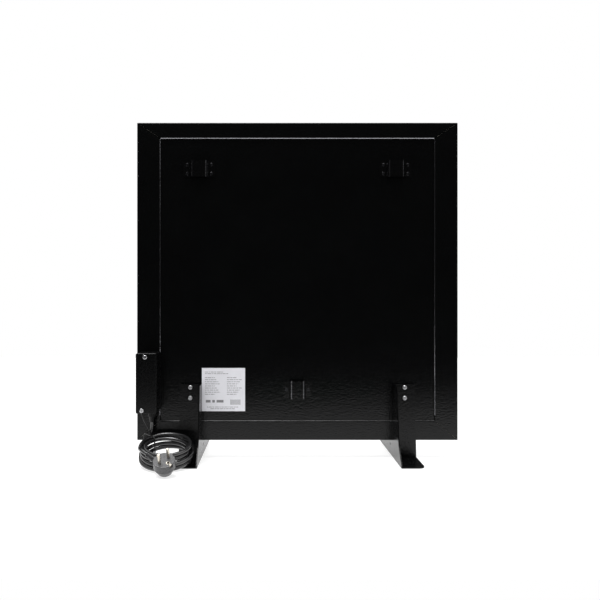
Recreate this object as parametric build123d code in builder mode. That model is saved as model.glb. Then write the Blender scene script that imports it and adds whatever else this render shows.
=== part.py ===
from build123d import *
import os
from math import atan2, cos, degrees, hypot, pi, radians, sin, sqrt, tan

# Flat panel heater on two folded feet, seen from its back.
# Millimetres. +X is to the right when looking at the back, +Y points away from the back,
# out of the warm front, and +Z is up. The origin is on the floor, under the middle of the
# box that the heater and its feet fill.

os.makedirs("parts", exist_ok=True)

# Panel casing
panel_width = 600.0
panel_height = 594.0
panel_depth = 22.0
casing_sheet = 1.0
casing_fold = 1.5
side_margin = 44.0
top_margin = 30.0
bottom_margin = 37.0
mitre_slit = 0.6
mitre_web = 4.0
mitre_overlap = 3.0
lip_depth = 3.2
lip_width = 3.4
lip_bend = 2.8
opening_corner = 2.0
plate_sheet = 1.0
plate_lap = 6.0
pick_slack = 0.1

# Heating stack
mat_thickness = 1.0
track_thickness = 0.4
foil_thickness = 0.3
stack_gap = 2.0
track_width = 10.0
track_rows = 16
track_left_margin = 63.0
track_right_margin = 30.0
track_low_margin = 58.7
track_high_margin = 25.3
tail_margin = 48.0
neutral_pad_rise = 42.0
live_pad_drop = 18.0
pocket_near_margin = 9.0
pocket_far_margin = 78.0
pocket_low_gap = 7.7
pocket_high_gap = 3.3
cutout_radius = 8.0
cutout_height = 6.0
cutout_margin = 32.0
tab_width = 4.0
tab_thickness = 0.5
tab_length = 7.0

# Feet
foot_sheet = 2.0
foot_share = 0.3
foot_flange_top = 40.0
foot_base_width = 43.0
foot_rear_reach = 76.0
foot_front_reach = 142.0
foot_clearance_z = 33.3
foot_top_z = 138.5
foot_top_reach = 31.0
foot_kink_z = 34.0
foot_kink_reach = 50.5
foot_toe_z = 4.0
foot_kink_radius = 18.0
foot_toe_radius = 1.5
foot_tip_height = 8.0
foot_corner_radius = 12.0
foot_hole_out = 25.7
foot_hole_behind = 45.0
foot_hole_ahead = 118.0
foot_hole_radius = 2.75
foot_fold = 1.5
web_hole_ahead = 30.0
web_hole_z = 20.0
web_hole_radius = 2.5

# Foot screws and rivet nuts
screw_out = 20.0
screw_high_drop = 6.1
screw_low_drop = 25.9
screw_radius = 2.0
screw_head_radius = 4.0
screw_head_height = 2.4
screw_grip = 12.0
nut_radius = 3.0
nut_flange_radius = 4.5
nut_length = 9.0
recess_width = 0.9
recess_length = 4.4
recess_depth = 1.5
hole_clearance = 0.25
thread_clearance = 0.05

# Wall brackets
bracket_sheet = 1.2
bracket_depth = 10.0
bracket_bend = 1.0
top_bracket_out = 4.0
top_bracket_drop = 56.8
top_bracket_width = 60.5
top_bracket_height = 30.5
top_bracket_base = 34.0
top_bracket_crown = 25.0
low_bracket_rise = 57.5
low_bracket_width = 53.0
low_bracket_height = 33.0
low_bracket_base = 30.0
low_bracket_crown = 22.0
rivet_from_fold = 5.5
rivet_from_edge = 6.85
rivet_radius = 1.6
rivet_head_radius = 2.9
rivet_head_height = 1.1
rivet_tail_radius = 2.3
rivet_tail_length = 2.6
rivet_pocket_radius = 4.0
rivet_pocket_depth = 4.0

# Label
label_size = 81.0
label_gap = 1.0
label_rise = 16.7
label_thickness = 0.2

# Junction box
box_width = 37.5
box_height = 109.0
box_inset = 25.25
box_lift = 57.0
box_base_depth = 32.0
box_cover_depth = 12.0
box_wall = 2.2
box_corner = 3.0
cover_edge = 1.2
seam_inset = 0.5
seam_height = 0.8
boss_radius = 4.5
cover_screw_high_across = -1.75
cover_screw_high_drop = 6.8
cover_screw_low_across = -7.75
cover_screw_low_rise = 5.7
cover_screw_radius = 1.75
cover_head_radius = 3.75
cover_head_height = 2.2
cover_screw_length = 24.0
box_rivet_low_rise = 21.7
box_rivet_high_across = -10.75
box_rivet_high_drop = 17.3
grommet_drop = 29.3
grommet_bore = 5.5
grommet_radius = 7.0
grommet_flange = 9.0
grommet_lip = 1.2
earth_across = 8.75
earth_drop = 14.3
earth_thread = 6.5
ring_radius = 4.0
ring_thickness = 0.8
block_width = 27.0
block_height = 20.0
block_depth = 14.0
block_rise = 39.7
pole_pitch = 9.0
block_screw_radius = 2.0
block_screw_sink = 1.0
block_screw_proud = 0.4
block_edge = 1.0
lead_axis_behind = 9.0

# Wires
wire_radius = 1.1
wire_bend = 2.4
wire_seat_gap = 0.3
core_radius = 1.0
core_straight = 6.0
live_rise = 8.0
earth_rise = 12.0
earth_lay = 6.0
earth_end = 3.0
lead_depth = 8.0
lead_step = 2.0
lead_inset = 1.0
tab_hold = 3.0

# Gland
gland_across = 5.75
gland_behind = 14.0
gland_stem_radius = 6.0
gland_stem_length = 8.0
gland_collar_radius = 8.4
gland_collar_height = 9.0
gland_collar_ribs = 12
gland_rib_radius = 0.7
locknut_across = 16.0
locknut_height = 4.0
bend_sleeve_length = 10.8
bend_sleeve_top_radius = 6.6
bend_sleeve_tip_radius = 4.9
sheath_rise = 13.7
core_spread = 2.1

# Cord
cord_diameter = 7.0
bore_clearance = 0.1
coil_across = 39.75
coil_centre_behind = 54.0
coil_tilt = 14.0
coil_mean_radius = 42.0
coil_swing = 4.5
coil_layers = 4
coil_step = 7.7
coil_climb = 0.5
coil_start_angle = 190.0
coil_turns = 5.105
coil_floor_gap = 0.3
least_gap_allowed = 0.4

lead_corners = [(0.0, 14.0, 54.9), (-6.0, 16.6, 39.4), (-13.0, 25.4, 27.3)]
lead_last_run = 16.6

# Cord tie
tie_angle = 140.0
tie_wire_radius = 0.8
tie_inner_low = 33.6
tie_inner_high = 61.2
tie_below = 3.8
tie_above = 27.0
tie_corner = 4.0
tie_tail_radius = 0.7
tie_tail_at = 44.0
tie_tail = [(-2.5, 38.0, 62.0), (-8.0, 46.5, 76.0), (-13.3, 48.5, 90.5)]
tie_tail_bend = 12.0

# Plug
plug_radius = 18.5
plug_skirt = 14.0
plug_depth = 26.0
plug_back_radius = 12.0
plug_edge = 1.2
plug_tilt = 28.0
plug_turn = 45.0
plug_across = 7.3
plug_behind = 131.0
plug_floor_gap = 0.3
pin_radius = 2.4
pin_length = 19.0
pin_spacing = 19.0
pin_tip = 1.2
pin_root = 6.0
notch_width = 7.0
notch_depth = 3.4
clip_width = 4.4
clip_thickness = 0.8
clip_length = 15.0
clip_lip = 1.6
socket_offset = 10.0
socket_outer = 3.4
socket_bore = 2.4
socket_depth = 14.0
exit_below = 14.0
boss_out = 21.0
boss_width_radius = 7.0
relief_length = 24.0
relief_root_radius = 6.2
relief_tip_radius = 4.7
relief_ribs = 6
relief_rib_width = 2.0
relief_groove = 1.2

# Places that follow from the sizes above
back_y = (foot_rear_reach - foot_front_reach) / 2
front_y = back_y + panel_depth
panel_bottom = foot_clearance_z
panel_top = panel_bottom + panel_height
panel_mid_z = (panel_bottom + panel_top) / 2
opening_width = panel_width - 2 * side_margin
opening_bottom = panel_bottom + bottom_margin
opening_top = panel_top - top_margin
opening_height = opening_top - opening_bottom
opening_mid_z = (opening_bottom + opening_top) / 2
plate_outer_y = back_y + lip_depth
plate_inner_y = plate_outer_y + plate_sheet
mat_outer_y = front_y - casing_sheet
mat_y = mat_outer_y - mat_thickness
track_y = mat_y - track_thickness
foil_y = track_y - foil_thickness
cord_radius = cord_diameter / 2
panel_left = -panel_width / 2
foot_centre_x = panel_width * foot_share
foot_hole_x = foot_centre_x + foot_hole_out
screw_x = foot_centre_x + screw_out
screw_high_z = foot_top_z - screw_high_drop
screw_low_z = foot_top_z - screw_low_drop
top_bracket_x = foot_centre_x + top_bracket_out
top_bracket_z = opening_top - top_bracket_drop
low_bracket_x = 0.0
low_bracket_z = opening_bottom + low_bracket_rise
top_rivet_x = top_bracket_base / 2 + rivet_from_fold
top_rivet_z = top_bracket_height / 2 - rivet_from_edge
low_rivet_x = low_bracket_base / 2 + rivet_from_fold
label_left = label_gap - foot_centre_x
label_bottom = opening_bottom + label_rise
box_depth = box_base_depth + box_cover_depth
box_centre_x = panel_left + box_inset
box_bottom = panel_bottom + box_lift
box_top = box_bottom + box_height
grommet_z = box_top - grommet_drop
earth_place = (box_centre_x + earth_across, box_top - earth_drop)
block_bottom = box_bottom + block_rise
sheath_top = box_bottom + sheath_rise
gland_x = box_centre_x + gland_across
bend_sleeve_end = box_bottom - gland_collar_height - bend_sleeve_length
coil_centre_x = box_centre_x + coil_across
plug_x = coil_centre_x + plug_across
pocket_left = panel_left + pocket_near_margin
pocket_right = panel_left + pocket_far_margin
pocket_bottom = box_bottom + pocket_low_gap
pocket_top = box_top - pocket_high_gap
track_left = panel_left + track_left_margin
track_right = panel_width / 2 - track_right_margin
track_first_z = panel_bottom + track_low_margin
track_last_z = panel_top - track_high_margin
track_pitch = (track_last_z - track_first_z) / (track_rows - 1)
tail_x = panel_left + tail_margin
cutout_x = panel_left + cutout_margin
neutral_pad_z = pocket_bottom + neutral_pad_rise
live_pad_z = pocket_top - live_pad_drop
box_mid_z = (box_bottom + box_top) / 2
box_floor_y = back_y - box_wall
screw_places = [(side * screw_x, z) for side in (-1, 1) for z in (screw_high_z, screw_low_z)]
top_bracket_places = [(-top_bracket_x, top_bracket_z), (top_bracket_x, top_bracket_z)]
rivet_places = [
    (x + dx, z + dz)
    for x, z in top_bracket_places
    for dx in (-top_rivet_x, top_rivet_x)
    for dz in (-top_rivet_z, top_rivet_z)
] + [(low_bracket_x + dx, low_bracket_z) for dx in (-low_rivet_x, low_rivet_x)]
cover_screw_places = [
    (box_centre_x + cover_screw_high_across, box_top - cover_screw_high_drop),
    (box_centre_x + cover_screw_low_across, box_bottom + cover_screw_low_rise),
]
box_rivet_places = [
    (box_centre_x, box_bottom + box_rivet_low_rise),
    (box_centre_x + box_rivet_high_across, box_top - box_rivet_high_drop),
]


def behind(distance):
    """Y of a place that lies this far behind the back of the casing."""
    return back_y - distance


def upright(y):
    """Upright plane at depth y, seen from the back: X right, Z up, normal towards the viewer."""
    return Plane.XZ.offset(-y)


def wire_path(points, bend):
    """Straight runs through the points, joined by arcs of one radius."""
    return FilletPolyline(*points, radius=bend)


def check_runs(label, points, diameter):
    """Radii of a cord's corners, each as large as its two runs allow."""
    radii = []
    for before, corner, after in zip(points, points[1:], points[2:]):
        first, second = corner - before, after - corner
        turn = radians(first.get_angle(second))
        radii.append(0.45 * min(first.length, second.length) / tan(turn / 2))
    print(label, "radii", [round(value, 1) for value in radii], "of diameter", diameter)
    return radii


# Casing: a tray with its front, four walls and a mitred return on each side
with BuildPart() as casing_tray:
    with BuildSketch(upright(front_y)):
        with Locations((0, panel_mid_z)):
            Rectangle(panel_width, panel_height)
    extrude(amount=panel_depth)
    fillet(casing_tray.edges(), casing_fold)
    with BuildSketch(upright(front_y - casing_sheet)):
        with Locations((0, panel_mid_z)):
            Rectangle(panel_width - 2 * casing_sheet, panel_height - 2 * casing_sheet)
    extrude(amount=panel_depth - 2 * casing_sheet, mode=Mode.SUBTRACT)
    with BuildSketch(upright(plate_outer_y)):
        with Locations((0, opening_mid_z)):
            Rectangle(opening_width + 2 * lip_width, opening_height + 2 * lip_width)
    extrude(amount=lip_depth - casing_sheet)
    with BuildSketch(upright(plate_outer_y)):
        with Locations((0, opening_mid_z)):
            RectangleRounded(opening_width, opening_height, opening_corner)
    extrude(amount=lip_depth, mode=Mode.SUBTRACT)
    lip_edges = (
        casing_tray.edges()
        .filter_by_position(Axis.Y, back_y - pick_slack, back_y + pick_slack)
        .filter_by_position(Axis.X, -opening_width / 2 - pick_slack, opening_width / 2 + pick_slack)
        .filter_by_position(Axis.Z, opening_bottom - pick_slack, opening_top + pick_slack)
    )
    fillet(lip_edges, lip_bend)
    with BuildSketch(upright(plate_outer_y)):
        for side in (-1, 1):
            for outer_z, inner_z in ((panel_top, opening_top), (panel_bottom, opening_bottom)):
                run_x = side * (opening_width - panel_width) / 2
                run_z = inner_z - outer_z
                diagonal = hypot(run_x, run_z)
                share = 1 - mitre_web / diagonal
                shift = (share - mitre_overlap / diagonal) / 2
                middle = (side * opening_width / 2 - run_x * shift, inner_z - run_z * shift)
                with Locations(middle):
                    Rectangle(
                        diagonal * share + mitre_overlap,
                        mitre_slit,
                        rotation=degrees(atan2(run_z, run_x)),
                    )
        with Locations((box_centre_x, grommet_z)):
            Circle(grommet_radius)
        with Locations(*box_rivet_places):
            Circle(rivet_radius + thread_clearance)
        with Locations(earth_place):
            Circle(screw_radius + thread_clearance)
    extrude(amount=lip_depth, mode=Mode.SUBTRACT)
casing_tray.part.label = "casing_tray"
export_step(casing_tray.part, "parts/casing_tray.step")

# Back plate: lies against the returns from inside
with BuildPart() as back_plate:
    with BuildSketch(upright(plate_inner_y)):
        with Locations((0, opening_mid_z)):
            Rectangle(opening_width + 2 * plate_lap, opening_height + 2 * plate_lap)
        with Locations(*rivet_places):
            Circle(rivet_radius + thread_clearance, mode=Mode.SUBTRACT)
        with Locations(*screw_places):
            Circle(nut_radius + thread_clearance, mode=Mode.SUBTRACT)
    extrude(amount=plate_sheet)
back_plate.part.label = "back_plate"
export_step(back_plate.part, "parts/back_plate.step")


def stack_outline():
    """Outline of the board and the foil, with the wiring pocket left open."""
    with Locations((0, panel_mid_z)):
        Rectangle(
            panel_width - 2 * (casing_sheet + stack_gap), panel_height - 2 * (casing_sheet + stack_gap)
        )
    with Locations(((pocket_left + pocket_right) / 2, (pocket_bottom + pocket_top) / 2)):
        Rectangle(pocket_right - pocket_left, pocket_top - pocket_bottom, mode=Mode.SUBTRACT)


# Insulation board: fills the tray between the foil and the back plate
with BuildPart() as insulation_board:
    with BuildSketch(upright(foil_y)):
        stack_outline()
        with Locations(*screw_places):
            Circle(nut_flange_radius, mode=Mode.SUBTRACT)
    extrude(amount=foil_y - plate_inner_y)
    with BuildSketch(upright(plate_inner_y)):
        with Locations(*rivet_places):
            Circle(rivet_pocket_radius)
    extrude(amount=-rivet_pocket_depth, mode=Mode.SUBTRACT)
insulation_board.part.label = "insulation_board"
export_step(insulation_board.part, "parts/insulation_board.step")

# Reflector foil: sends the heat to the front
with BuildPart() as reflector_foil:
    with BuildSketch(upright(track_y)):
        stack_outline()
    extrude(amount=foil_thickness)
reflector_foil.part.label = "reflector_foil"
export_step(reflector_foil.part, "parts/reflector_foil.step")

# Heating mat: the sheet on the front plate that carries the track
with BuildPart() as heating_mat:
    with BuildSketch(upright(mat_outer_y)):
        with Locations((0, panel_mid_z)):
            Rectangle(
                panel_width - 2 * (casing_sheet + stack_gap),
                panel_height - 2 * (casing_sheet + stack_gap),
            )
    extrude(amount=mat_thickness)
heating_mat.part.label = "heating_mat"
export_step(heating_mat.part, "parts/heating_mat.step")

# Heating track: one strip to and fro, with a tail from each end into the wiring pocket
with BuildPart() as heating_track:
    with BuildSketch(upright(mat_y)):
        for row in range(track_rows):
            z = track_first_z + row * track_pitch
            with Locations(((track_left + track_right) / 2, z)):
                Rectangle(track_right - track_left, track_width)
            if row < track_rows - 1:
                link_x = track_right - track_width / 2 if row % 2 == 0 else track_left + track_width / 2
                with Locations((link_x, z + track_pitch / 2)):
                    Rectangle(track_width, track_pitch + track_width)
        for end_z, pad_z in ((track_first_z, neutral_pad_z), (track_last_z, live_pad_z)):
            with Locations((tail_x, (end_z + pad_z) / 2)):
                Rectangle(track_width, abs(end_z - pad_z) + track_width)
            with Locations(((tail_x + track_left) / 2, end_z)):
                Rectangle(track_left - tail_x + track_width, track_width)
    extrude(amount=track_thickness)
heating_track.part.label = "heating_track"
export_step(heating_track.part, "parts/heating_track.step")

# Thermal cutout: a round body on the mat, one tab on the track and one for the live lead
with BuildPart() as thermal_cutout:
    with BuildSketch(upright(mat_y)):
        with Locations((cutout_x, live_pad_z)):
            Circle(cutout_radius)
    extrude(amount=cutout_height)
    fillet(thermal_cutout.faces().sort_by(Axis.Y)[0].edges(), cutout_radius / 10)
    tab_run = cutout_radius + tab_length
    with BuildSketch(upright(track_y)):
        with Locations((cutout_x, live_pad_z)):
            Rectangle(2 * tab_run, tab_width)
    extrude(amount=tab_thickness)
thermal_cutout.part.label = "thermal_cutout"
export_step(thermal_cutout.part, "parts/thermal_cutout.step")


def make_foot(side):
    """One foot: an upright web, a flange on the casing and a base flange on the floor."""
    web_out = side * (foot_centre_x + foot_sheet / 2)
    with BuildPart() as foot:
        with BuildSketch(Plane.YZ.offset(side * foot_centre_x)):
            with BuildLine():
                heel = FilletPolyline(
                    (behind(foot_rear_reach), 0),
                    (behind(foot_rear_reach), foot_toe_z),
                    (behind(foot_kink_reach), foot_kink_z),
                    (behind(foot_top_reach), foot_top_z),
                    radius=[foot_toe_radius, foot_kink_radius],
                )
                Polyline(
                    heel @ 1,
                    (back_y, foot_top_z),
                    (back_y, foot_clearance_z),
                    (front_y, foot_clearance_z),
                    (back_y + foot_front_reach, foot_tip_height),
                    (back_y + foot_front_reach, 0),
                    heel @ 0,
                )
            make_face()
            with Locations((back_y + web_hole_ahead, web_hole_z)):
                Circle(web_hole_radius, mode=Mode.SUBTRACT)
        extrude(amount=foot_sheet / 2, both=True)
        with BuildSketch(upright(back_y)):
            with BuildLine():
                Polyline(
                    (web_out, 0),
                    (web_out + side * (foot_base_width - foot_sheet), 0),
                    (web_out + side * (foot_flange_top - foot_sheet), foot_top_z),
                    (web_out, foot_top_z),
                    close=True,
                )
            make_face()
            with Locations(*[place for place in screw_places if place[0] * side > 0]):
                Circle(screw_radius + hole_clearance, mode=Mode.SUBTRACT)
        extrude(amount=foot_sheet)
        with BuildSketch(Plane.XY):
            reach = foot_rear_reach + foot_front_reach
            base_run = foot_base_width - foot_sheet
            with Locations((web_out + side * base_run / 2, 0)):
                Rectangle(base_run, reach)
        extrude(amount=foot_sheet)
        outer_x = web_out + side * base_run
        corners = foot.edges().filter_by(Axis.Z).filter_by_position(Axis.X, outer_x - pick_slack, outer_x + pick_slack)
        fillet(corners, foot_corner_radius)
        with BuildSketch(Plane.XY):
            with Locations(
                (side * foot_hole_x, behind(foot_hole_behind)), (side * foot_hole_x, back_y + foot_hole_ahead)
            ):
                Circle(foot_hole_radius)
        extrude(amount=foot_sheet, mode=Mode.SUBTRACT)
        inner_x = web_out - side * foot_sheet
        folds = (
            foot.edges()
            .filter_by(Axis.Y)
            .filter_by_position(Axis.Z, -pick_slack, pick_slack)
            .filter_by_position(Axis.X, inner_x - pick_slack, inner_x + pick_slack)
        )
        fillet(folds, foot_fold)
    return foot


# Feet: a mirrored pair
foot_left = make_foot(-1)
foot_left.part.label = "foot_left"
export_step(foot_left.part, "parts/foot_left.step")

foot_right = make_foot(1)
foot_right.part.label = "foot_right"
export_step(foot_right.part, "parts/foot_right.step")


def cross_recess(y, places, length):
    """Cross-shaped driver recess, cut into the heads from the face at y."""
    with BuildSketch(upright(y)) as crosses:
        with Locations(*places):
            Rectangle(length, recess_width)
            Rectangle(recess_width, length)
    extrude(crosses.sketch, amount=-recess_depth, mode=Mode.SUBTRACT)


def pan_head(y, places, radius, height):
    """Domed heads that rise from the face at y towards the viewer."""
    with BuildSketch(upright(y)) as heads:
        with Locations(*places):
            Circle(radius)
    extrude(heads.sketch, amount=height)


# Foot screws: pan heads on the flanges, shanks in the rivet nuts
foot_head_y = back_y - foot_sheet
with BuildPart() as foot_screws:
    pan_head(foot_head_y, screw_places, screw_head_radius, screw_head_height)
    fillet(foot_screws.faces().filter_by(Axis.Y).group_by(Axis.Y)[0].edges(), screw_head_height * 0.45)
    with BuildSketch(upright(foot_head_y)):
        with Locations(*screw_places):
            Circle(screw_radius)
    extrude(amount=-screw_grip)
    cross_recess(foot_head_y - screw_head_height, screw_places, recess_length)
foot_screws.part.label = "foot_screws"
export_step(foot_screws.part, "parts/foot_screws.step")

# Rivet nuts: their flanges fill the step between the foot and the back plate
with BuildPart() as rivet_nuts:
    with BuildSketch(upright(plate_outer_y)):
        with Locations(*screw_places):
            Circle(nut_flange_radius - hole_clearance)
    extrude(amount=lip_depth)
    with BuildSketch(upright(plate_outer_y)):
        with Locations(*screw_places):
            Circle(nut_radius)
    extrude(amount=-nut_length)
    with BuildSketch(upright(back_y)):
        with Locations(*screw_places):
            Circle(screw_radius + thread_clearance)
    extrude(amount=-(lip_depth + nut_length), mode=Mode.SUBTRACT)
rivet_nuts.part.label = "rivet_nuts"
export_step(rivet_nuts.part, "parts/rivet_nuts.step")


def make_bracket(place, width, height, base, crown, rivets):
    """Hat-section wall bracket, open at its top and bottom, with an ear on each side."""
    x, z = place
    seat = plate_outer_y
    with BuildPart() as bracket:
        with BuildSketch(Plane.XY.offset(z - height / 2)):
            with BuildLine():
                FilletPolyline(
                    (x - width / 2, seat),
                    (x - base / 2, seat),
                    (x - crown / 2, seat - bracket_depth + bracket_sheet),
                    (x + crown / 2, seat - bracket_depth + bracket_sheet),
                    (x + base / 2, seat),
                    (x + width / 2, seat),
                    radius=bracket_bend,
                )
                offset(amount=bracket_sheet, side=Side.RIGHT)
            make_face()
        extrude(amount=height)
        ears = (
            bracket.edges()
            .filter_by(Axis.Y)
            .filter_by_position(Axis.Y, seat - bracket_sheet, seat + pick_slack)
        )
        fillet(ears, 2.0)
        with BuildSketch(upright(seat)):
            with Locations(*[(x + dx, z + dz) for dx, dz in rivets]):
                Circle(rivet_radius + thread_clearance)
        extrude(amount=bracket_sheet, mode=Mode.SUBTRACT)
    return bracket


# Wall brackets: two at the top, and a smaller one at the bottom
top_rivets = [(dx, dz) for dx in (-top_rivet_x, top_rivet_x) for dz in (-top_rivet_z, top_rivet_z)]
low_rivets = [(-low_rivet_x, 0), (low_rivet_x, 0)]
top_bracket_sizes = (top_bracket_width, top_bracket_height, top_bracket_base, top_bracket_crown)
wall_bracket_top_left = make_bracket(top_bracket_places[0], *top_bracket_sizes, top_rivets)
wall_bracket_top_left.part.label = "wall_bracket_top_left"
export_step(wall_bracket_top_left.part, "parts/wall_bracket_top_left.step")

wall_bracket_top_right = make_bracket(top_bracket_places[1], *top_bracket_sizes, top_rivets)
wall_bracket_top_right.part.label = "wall_bracket_top_right"
export_step(wall_bracket_top_right.part, "parts/wall_bracket_top_right.step")

low_bracket_sizes = (low_bracket_width, low_bracket_height, low_bracket_base, low_bracket_crown)
wall_bracket_bottom = make_bracket((low_bracket_x, low_bracket_z), *low_bracket_sizes, low_rivets)
wall_bracket_bottom.part.label = "wall_bracket_bottom"
export_step(wall_bracket_bottom.part, "parts/wall_bracket_bottom.step")


def make_rivets(places, head_y, grip):
    """Blind rivets: a domed head at head_y, a shank through the grip and a set tail behind it."""
    with BuildPart() as rivets:
        pan_head(head_y, places, rivet_head_radius, rivet_head_height)
        fillet(rivets.faces().filter_by(Axis.Y).group_by(Axis.Y)[0].edges(), rivet_head_height * 0.6)
        with BuildSketch(upright(head_y)):
            with Locations(*places):
                Circle(rivet_radius)
        extrude(amount=-grip)
        with BuildSketch(upright(head_y + grip)):
            with Locations(*places):
                Circle(rivet_tail_radius)
        extrude(amount=-rivet_tail_length)
    return rivets


# Bracket rivets: through the ears and the back plate
bracket_rivets = make_rivets(rivet_places, plate_outer_y - bracket_sheet, bracket_sheet + plate_sheet)
bracket_rivets.part.label = "bracket_rivets"
export_step(bracket_rivets.part, "parts/bracket_rivets.step")

# Rating label: a plain sticker beside the left foot
with BuildPart() as rating_label:
    with BuildSketch(upright(plate_outer_y)):
        with Locations((label_left + label_size / 2, label_bottom + label_size / 2)):
            Rectangle(label_size, label_size)
    extrude(amount=label_thickness)
rating_label.part.label = "rating_label"
export_step(rating_label.part, "parts/rating_label.step")


def box_outline(shrink):
    """Rounded outline of the junction box, drawn in by shrink on every side."""
    with Locations((box_centre_x, box_mid_z)):
        RectangleRounded(
            box_width - 2 * shrink, box_height - 2 * shrink, max(box_corner - shrink, box_corner / 4)
        )


# Junction box base: on the left return, open towards the viewer, with two screw bosses
base_rim_y = behind(box_base_depth)
with BuildPart() as junction_box_base:
    with BuildSketch(upright(back_y)):
        box_outline(0)
    extrude(amount=box_base_depth)
    with BuildSketch(upright(box_floor_y)):
        box_outline(box_wall)
    extrude(amount=box_base_depth - box_wall, mode=Mode.SUBTRACT)
    with BuildSketch(upright(box_floor_y)):
        with Locations(*cover_screw_places):
            Circle(boss_radius)
    extrude(amount=box_base_depth - box_wall)
    with BuildSketch(upright(base_rim_y)):
        with Locations(*cover_screw_places):
            Circle(cover_screw_radius + thread_clearance)
    extrude(amount=-(cover_screw_length - box_cover_depth + 1), mode=Mode.SUBTRACT)
    with BuildSketch(upright(back_y)):
        with Locations((box_centre_x, grommet_z)):
            Circle(grommet_radius)
        with Locations(*box_rivet_places):
            Circle(rivet_radius + thread_clearance)
        with Locations(earth_place):
            Circle(screw_radius + thread_clearance)
    extrude(amount=box_wall, mode=Mode.SUBTRACT)
    with BuildSketch(Plane.XY.offset(box_bottom)):
        with Locations((gland_x, behind(gland_behind))):
            Circle(gland_stem_radius + hole_clearance)
    extrude(amount=box_wall, mode=Mode.SUBTRACT)
junction_box_base.part.label = "junction_box_base"
export_step(junction_box_base.part, "parts/junction_box_base.step")

# Junction box cover: a shallow cap with a shadow line where it meets the base
cover_face_y = behind(box_depth)
with BuildPart() as junction_box_cover:
    with BuildSketch(upright(base_rim_y)):
        box_outline(0)
    extrude(amount=box_cover_depth)
    fillet(junction_box_cover.faces().sort_by(Axis.Y)[0].edges(), cover_edge)
    with BuildSketch(upright(base_rim_y)):
        box_outline(0)
        with Locations((box_centre_x, box_mid_z)):
            RectangleRounded(
                box_width - 2 * seam_inset, box_height - 2 * seam_inset, box_corner, mode=Mode.SUBTRACT
            )
    extrude(amount=seam_height, mode=Mode.SUBTRACT)
    with BuildSketch(upright(base_rim_y)):
        box_outline(box_wall)
        with Locations(*cover_screw_places):
            Circle(boss_radius, mode=Mode.SUBTRACT)
    extrude(amount=box_cover_depth - box_wall, mode=Mode.SUBTRACT)
    with BuildSketch(upright(cover_face_y)):
        with Locations(*cover_screw_places):
            Circle(cover_screw_radius + hole_clearance)
    extrude(amount=-box_cover_depth, mode=Mode.SUBTRACT)
junction_box_cover.part.label = "junction_box_cover"
export_step(junction_box_cover.part, "parts/junction_box_cover.step")

# Cover screws
with BuildPart() as cover_screws:
    pan_head(cover_face_y, cover_screw_places, cover_head_radius, cover_head_height)
    fillet(cover_screws.faces().filter_by(Axis.Y).group_by(Axis.Y)[0].edges(), cover_head_height * 0.45)
    with BuildSketch(upright(cover_face_y)):
        with Locations(*cover_screw_places):
            Circle(cover_screw_radius)
    extrude(amount=-cover_screw_length)
    cross_recess(cover_face_y - cover_head_height, cover_screw_places, recess_length)
cover_screws.part.label = "cover_screws"
export_step(cover_screws.part, "parts/cover_screws.step")

# Box rivets: hold the base on the casing
box_rivets = make_rivets(box_rivet_places, box_floor_y, box_wall + casing_sheet)
box_rivets.part.label = "box_rivets"
export_step(box_rivets.part, "parts/box_rivets.step")

# Lead grommet: lines the hole from the box into the tray
with BuildPart() as lead_grommet:
    grip = box_wall + casing_sheet
    with BuildSketch(upright(back_y + casing_sheet)):
        with Locations((box_centre_x, grommet_z)):
            Circle(grommet_radius - thread_clearance)
    extrude(amount=grip)
    for lip_y in (back_y + casing_sheet + grommet_lip, box_floor_y):
        with BuildSketch(upright(lip_y)):
            with Locations((box_centre_x, grommet_z)):
                Circle(grommet_flange)
        extrude(amount=grommet_lip)
    with BuildSketch(upright(back_y + casing_sheet + grommet_lip)):
        with Locations((box_centre_x, grommet_z)):
            Circle(grommet_bore)
    extrude(amount=grip + 2 * grommet_lip, mode=Mode.SUBTRACT)
lead_grommet.part.label = "lead_grommet"
export_step(lead_grommet.part, "parts/lead_grommet.step")

# Terminal block: three poles, wired from below and from above
block_face_y = box_floor_y - block_depth
block_top = block_bottom + block_height
pole_x = [box_centre_x + k * pole_pitch for k in (-1, 0, 1)]
block_screw_places = [
    (x, z) for x in pole_x for z in (block_bottom + block_height / 4, block_top - block_height / 4)
]
with BuildPart() as terminal_block:
    with BuildSketch(upright(box_floor_y)):
        with Locations((box_centre_x, (block_bottom + block_top) / 2)):
            Rectangle(block_width, block_height)
    extrude(amount=block_depth)
    fillet(terminal_block.edges().filter_by(Axis.Y), block_edge)
    with BuildSketch(upright(block_face_y)):
        with Locations(*block_screw_places):
            Circle(block_screw_radius + thread_clearance)
    extrude(amount=-block_screw_sink, mode=Mode.SUBTRACT)
terminal_block.part.label = "terminal_block"
export_step(terminal_block.part, "parts/terminal_block.step")

# Terminal screws: slotted, sunk into the block
with BuildPart() as terminal_screws:
    with BuildSketch(upright(block_face_y + block_screw_sink)):
        with Locations(*block_screw_places):
            Circle(block_screw_radius)
    extrude(amount=block_screw_sink + block_screw_proud)
    with BuildSketch(upright(block_face_y - block_screw_proud)):
        with Locations(*block_screw_places):
            Rectangle(2 * block_screw_radius, recess_width)
    extrude(amount=-block_screw_sink, mode=Mode.SUBTRACT)
terminal_screws.part.label = "terminal_screws"
export_step(terminal_screws.part, "parts/terminal_screws.step")


def make_wire(points):
    """Insulated wire along straight runs with small bends."""
    with BuildPart() as wire:
        with BuildLine() as route:
            wire_path(points, wire_bend)
        with BuildSketch(Plane(origin=points[0], z_dir=Vector(*points[1]) - Vector(*points[0]))):
            Circle(wire_radius)
        sweep(path=route.line)
    return wire


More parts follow.
